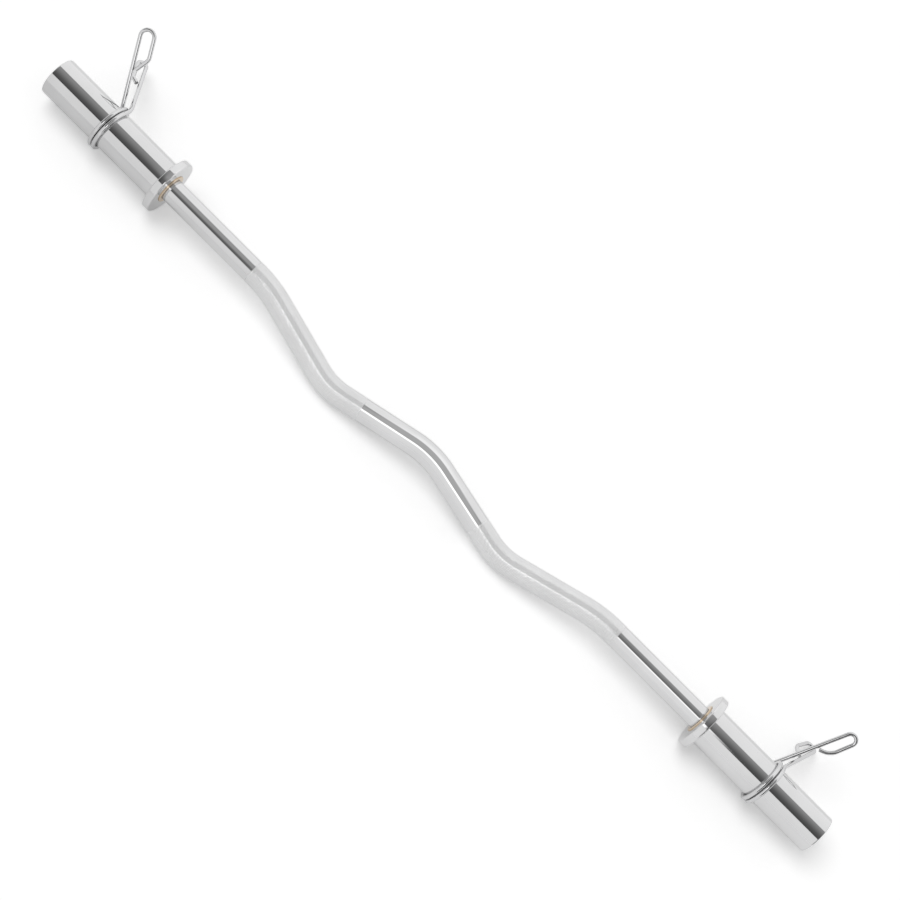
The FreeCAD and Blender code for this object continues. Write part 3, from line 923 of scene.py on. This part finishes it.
# Sets of panels along the bar: the X where a set begins, and its stops as (angle, brightness) pairs.
# The angle is in degrees, from level in front over the top to level behind.
TENT_PANELS = (
    (-3.0, ((0, 0.66), (46.5, 0.67), (47.5, 0.05), (66, 0.095), (80, 0.165), (95, 0.24), (105, 0.24),
            (106, 0.76), (180, 0.8))),
    (-0.78, ((0, 0.66), (46.5, 0.67), (47.5, 0.1), (62, 0.11), (78, 0.29), (105, 0.31), (106, 0.78),
             (180, 0.8))),
    (-0.495, ((0, 0.7), (46, 0.73), (48, 1.35), (61, 1.35), (62.5, 0.39), (110, 0.41), (112, 0.92),
              (135, 0.88), (160, 0.77), (180, 0.76))),
    (0.385, ((0, 0.73), (46.5, 0.74), (47.5, 1.15), (55, 1.15), (56, 0.12), (66, 0.15), (80, 0.22),
             (101, 0.3), (102, 0.76), (180, 0.8))),
    (0.68, ((0, 0.7), (45.5, 0.72), (46.5, 0.05), (66, 0.095), (80, 0.165), (95, 0.25), (100, 0.25),
            (101, 0.76), (180, 0.8))),
    (1.005, ((0, 0.03), (60, 0.06), (105, 0.2), (106, 0.76), (180, 0.8))),
)


def panel_ramp(tree, place, panels):
    """Ramp of panel brightness, from level in front over the top to level behind."""
    ramp = add_node(tree, "ShaderNodeValToRGB", place)
    stops = ramp.color_ramp.elements
    while len(stops) < len(panels):
        stops.new(1.0)
    for stop, (turn, level) in zip(stops, panels):
        stop.position = math.radians(turn) / math.pi
        stop.color = (level, level, level, 1.0)
    return ramp


def tent_material(settings):
    """Panels that the chrome mirrors: pale, with a dark panel overhead that changes along the bar."""
    material = stage_material("studio_tent")
    tree = material.node_tree
    output = node_of(tree, "OUTPUT_MATERIAL")
    place = add_node(tree, "ShaderNodeTexCoord", (-1500, 0))
    middle = add_node(tree, "ShaderNodeVectorMath", (-1300, 0), {1: SLEEVE_AXIS}, operation="SUBTRACT")
    parts = add_node(tree, "ShaderNodeSeparateXYZ", (-1100, 0))
    front = add_node(tree, "ShaderNodeMath", (-900, -100), {1: -1.0}, operation="MULTIPLY")
    height = add_node(tree, "ShaderNodeMath", (-700, 0), operation="ARCTAN2")
    turn = add_node(tree, "ShaderNodeMath", (-500, 0), {1: math.pi}, operation="DIVIDE")
    join(
        tree,
        (place, "Object", middle, 0),
        (middle, "Vector", parts, "Vector"),
        (parts, "Y", front, 0),
        (parts, "Z", height, 0),
        (front, "Value", height, 1),
        (height, "Value", turn, 0),
    )
    shown = None
    for number, (edge, panels) in enumerate(TENT_PANELS):
        ramp = panel_ramp(tree, (-300, -300 * number), panels)
        join(tree, (turn, "Value", ramp, "Fac"))
        if shown is None:
            shown = (ramp, "Color")
            continue
        blend = {"From Min": edge - settings.tent_blend, "From Max": edge + settings.tent_blend}
        begun = add_node(tree, "ShaderNodeMapRange", (0, -300 * number), blend,
                         interpolation_type="SMOOTHSTEP")
        pick = add_node(tree, "ShaderNodeMix", (200 * number, 0), data_type="RGBA")
        join(
            tree,
            (parts, "X", begun, "Value"),
            (begun, "Result", pick, "Factor"),
            (*shown, pick, "A"),
            (ramp, "Color", pick, "B"),
        )
        shown = (pick, "Result")
    levels = {"To Min": settings.tent_spill * settings.tent_level, "To Max": settings.tent_level}
    brightness = add_node(tree, "ShaderNodeMapRange", (1200, -300), levels)
    light = add_node(tree, "ShaderNodeEmission", (1400, 0))
    join(
        tree,
        (seen_or_mirrored(tree, (400, -700)), "Value", brightness, "Value"),
        (brightness, "Result", light, "Strength"),
        (*shown, light, "Color"),
        (light, "Emission", output, "Surface"),
    )
    return material


def stage_object(name, bm, material):
    """Object of the stage, which is not part of the bar."""
    mesh = bpy.data.meshes.new(name)
    bm.to_mesh(mesh)
    bm.free()
    mesh.materials.append(material)
    piece = bpy.data.objects.new(name, mesh)
    bpy.context.scene.collection.objects.link(piece)
    return piece


class CURLBAR_OT_stage(bpy.types.Operator):
    """Set up the camera, the floor, the mirrored panels and the light."""

    bl_idname = "curl_bar.make_stage"
    bl_label = "Make Stage"

    def place_camera(self, scene, settings):
        """Camera over the bar, at the photograph's angle, with the bar across the picture's diagonal."""
        rise = settings.camera_elevation
        yaw = settings.camera_yaw
        roll = settings.camera_roll
        up = Vector((0, math.sin(rise), math.cos(rise)))
        towards = Vector((0, -math.cos(rise), math.sin(rise)))
        right = X_AXIS * math.cos(yaw) - towards * math.sin(yaw)
        back = X_AXIS * math.sin(yaw) + towards * math.cos(yaw)
        eye = SLEEVE_AXIS + right * settings.camera_right + up * settings.camera_up
        eye += back * settings.camera_distance
        picture_right = right * math.cos(roll) + up * math.sin(roll)
        picture_up = up * math.cos(roll) - right * math.sin(roll)
        camera = bpy.data.cameras.new("Camera")
        camera.lens = settings.camera_lens
        holder = bpy.data.objects.new("Camera", camera)
        turn = Matrix((picture_right, picture_up, back)).transposed().to_4x4()
        holder.matrix_world = Matrix.Translation(eye) @ turn
        scene.collection.objects.link(holder)
        scene.camera = holder

    def lay_floor(self, settings):
        """Flat floor that the bar rests on."""
        bm = bmesh.new()
        bmesh.ops.create_grid(bm, x_segments=1, y_segments=1, size=settings.floor_reach)
        stage_object("studio_floor", bm, floor_material(settings))

    def hang_tent(self, settings):
        """Arc of panels along the bar, from level in front to level behind, seen only in gloss."""
        bm = bmesh.new()
        foot = SLEEVE_AXIS + Vector((0, -settings.tent_radius, 0))
        ends = [bm.verts.new(foot + X_AXIS * side * settings.tent_reach) for side in (-1, 1)]
        rail = bm.edges.new(ends)
        bmesh.ops.spin(bm, geom=ends + [rail], cent=SLEEVE_AXIS, axis=X_AXIS, angle=-math.pi,
                       steps=TENT_STEPS, use_merge=False, use_duplicate=False)
        tent = stage_object("studio_tent", bm, tent_material(settings))
        tent.visible_camera = False
        tent.visible_diffuse = False
        tent.visible_shadow = False

    def light(self, scene, settings):
        """Even white surroundings and one wide soft key light from over the bar's left end."""
        world = bpy.data.worlds.new("studio_world")
        world.use_nodes = True
        tree = world.node_tree
        background = node_of(tree, "BACKGROUND")
        background.inputs["Color"].default_value = (1.0, 1.0, 1.0, 1.0)
        level = add_node(tree, "ShaderNodeMapRange", (-200, 0), {"To Min": settings.sky, "To Max": 1.0})
        seen = seen_or_mirrored(tree, (-900, 0))
        join(tree, (seen, "Value", level, "Value"), (level, "Result", background, "Strength"))
        scene.world = world
        lamp = bpy.data.lights.new("soft_key", "SUN")
        lamp.angle = settings.lamp_spread
        lamp.energy = settings.lamp_strength
        holder = bpy.data.objects.new("soft_key", lamp)
        holder.location = settings.lamp_side
        holder.rotation_mode = "QUATERNION"
        holder.rotation_quaternion = holder.location.to_track_quat("Z", "Y")
        holder.visible_glossy = False
        scene.collection.objects.link(holder)

    def execute(self, context):
        scene = context.scene
        settings = scene.curl_bar_stage
        scene.view_settings.view_transform = "Standard"
        self.place_camera(scene, settings)
        self.lay_floor(settings)
        self.hang_tent(settings)
        self.light(scene, settings)
        return {"FINISHED"}


class CURLBAR_PT_panel(bpy.types.Panel):
    """Buttons and settings of the curl bar."""

    bl_idname = "CURLBAR_PT_panel"
    bl_label = "Curl Bar"
    bl_space_type = "VIEW_3D"
    bl_region_type = "UI"
    bl_category = "Curl Bar"

    def draw(self, context):
        for operator in OPERATORS:
            self.layout.operator(operator.bl_idname)
        for attribute, group in SETTINGS.items():
            box = self.layout.box()
            box.label(text=group.__doc__)
            for name in group.__annotations__:
                box.prop(getattr(context.scene, attribute), name)


OPERATORS = (
    CURLBAR_OT_shaft,
    CURLBAR_OT_sleeves,
    CURLBAR_OT_bearings,
    CURLBAR_OT_collars,
    CURLBAR_OT_stage,
)
SETTINGS = {
    "curl_bar_shaft": ShaftSizes,
    "curl_bar_sleeves": SleeveSizes,
    "curl_bar_collars": CollarSizes,
    "curl_bar_finishes": Finishes,
    "curl_bar_stage": StageSettings,
}
CLASSES = (*SETTINGS.values(), *OPERATORS, CURLBAR_PT_panel)


def register():
    """Add the classes and their settings to Blender."""
    for kind in CLASSES:
        bpy.utils.register_class(kind)
    for attribute, group in SETTINGS.items():
        setattr(bpy.types.Scene, attribute, PointerProperty(type=group))


def unregister():
    """Take the classes and their settings out of Blender."""
    for attribute in SETTINGS:
        delattr(bpy.types.Scene, attribute)
    for kind in reversed(CLASSES):
        bpy.utils.unregister_class(kind)


def main():
    """Make the bar and its stage."""
    register()
    bpy.ops.curl_bar.make_shaft()
    bpy.ops.curl_bar.make_sleeves()
    bpy.ops.curl_bar.make_bearings()
    bpy.ops.curl_bar.make_collars()
    bpy.ops.curl_bar.make_stage()
    bpy.context.view_layer.update()


if __name__ == "__main__":
    main()
